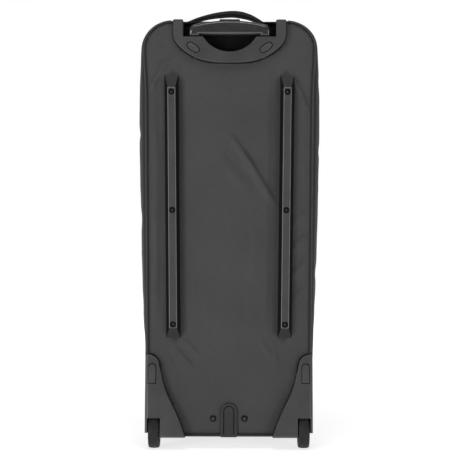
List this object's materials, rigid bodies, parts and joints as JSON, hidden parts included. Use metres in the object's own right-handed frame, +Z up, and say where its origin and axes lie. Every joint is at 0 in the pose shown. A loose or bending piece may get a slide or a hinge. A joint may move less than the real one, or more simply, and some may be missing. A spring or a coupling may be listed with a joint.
{
  "type": "wheeled gear bag",
  "caption": "tall wheeled trolley gear bag with hollow cloth body, zipped lid, skid rails, wheel corners, push-button telescopic handle and padded top carry strap",
  "frame": {"origin": "on the floor below the middle of the bag, at the bottom centre of its bounding box", "axes": "+Z up along the bag's length, +Y from the back with the rails and wheels to the zipped front, +X to the right of someone who looks at the back"},
  "size_m": [0.382, 0.316, 0.9203],
  "materials": {
    "body_cloth": "charcoal woven polyester, matt",
    "lid_cloth": "charcoal woven polyester, matt",
    "piping": "covered cord, matt",
    "zip_tape": "black coil zip and tape",
    "zip_metal": "black painted",
    "moulded_plastic": "fine moulded texture, half matt",
    "rail_plastic": "fine moulded texture, half matt",
    "tube_metal": "drawn tube",
    "screw_metal": "black screws and rivets",
    "wheel_tyre": "grey moulded tread",
    "wheel_hub": "moulded",
    "strap_webbing": "black padded webbing"
  },
  "bodies": {
    "bag": {"bag_body": "body_cloth", "bag_lid": "lid_cloth", "lid_zip": "zip_tape", "zip_slider_left": "zip_metal", "zip_slider_right": "zip_metal", "zip_pull_left": "zip_metal", "zip_pull_right": "zip_metal", "back_piping_left": "piping", "back_piping_right": "piping", "bottom_piping_left": "piping", "bottom_piping_right": "piping", "handle_plate": "moulded_plastic", "plate_cap_left": "moulded_plastic", "plate_cap_right": "moulded_plastic", "guide_tube_left": "tube_metal", "guide_tube_right": "tube_metal", "rail_left": "rail_plastic", "rail_right": "rail_plastic", "rail_screw_left_top": "screw_metal", "rail_screw_left_middle": "screw_metal", "rail_screw_left_bottom": "screw_metal", "rail_screw_right_top": "screw_metal", "rail_screw_right_middle": "screw_metal", "rail_screw_right_bottom": "screw_metal", "wheel_housing_left": "moulded_plastic", "wheel_housing_right": "moulded_plastic", "housing_pad_left": "moulded_plastic", "housing_pad_right": "moulded_plastic", "wheel_axle_left": "screw_metal", "wheel_axle_right": "screw_metal", "kick_tab": "moulded_plastic", "tab_rivet_left": "screw_metal", "tab_rivet_right": "screw_metal", "front_foot_left": "moulded_plastic", "front_foot_right": "moulded_plastic", "carry_strap": "strap_webbing"},
    "handle": {"handle_grip": "moulded_plastic", "handle_tube_left": "tube_metal", "handle_tube_right": "tube_metal"},
    "button": {"grip_button": "moulded_plastic"},
    "wheel_left": {"wheel_tyre_left": "wheel_tyre", "wheel_hub_left": "wheel_hub"},
    "wheel_right": {"wheel_tyre_right": "wheel_tyre", "wheel_hub_right": "wheel_hub"}
  },
  "joints": [
    {"name": "handle_slide", "type": "slide", "parent": "bag", "child": "handle", "axis": [0, 0, 1], "range_m": [0, 0.3]},
    {"name": "button_press", "type": "slide", "parent": "handle", "child": "button", "axis": [0, 0, -1], "range_m": [0, 0.003], "stiffness_N_per_m": 300},
    {"name": "wheel_left_spin", "type": "hinge", "parent": "bag", "child": "wheel_left", "pos_m": [-0.1538, -0.12, 0.038], "axis": [1, 0, 0], "continuous": true},
    {"name": "wheel_right_spin", "type": "hinge", "parent": "bag", "child": "wheel_right", "pos_m": [0.1538, -0.12, 0.038], "axis": [1, 0, 0], "continuous": true}
  ]
}
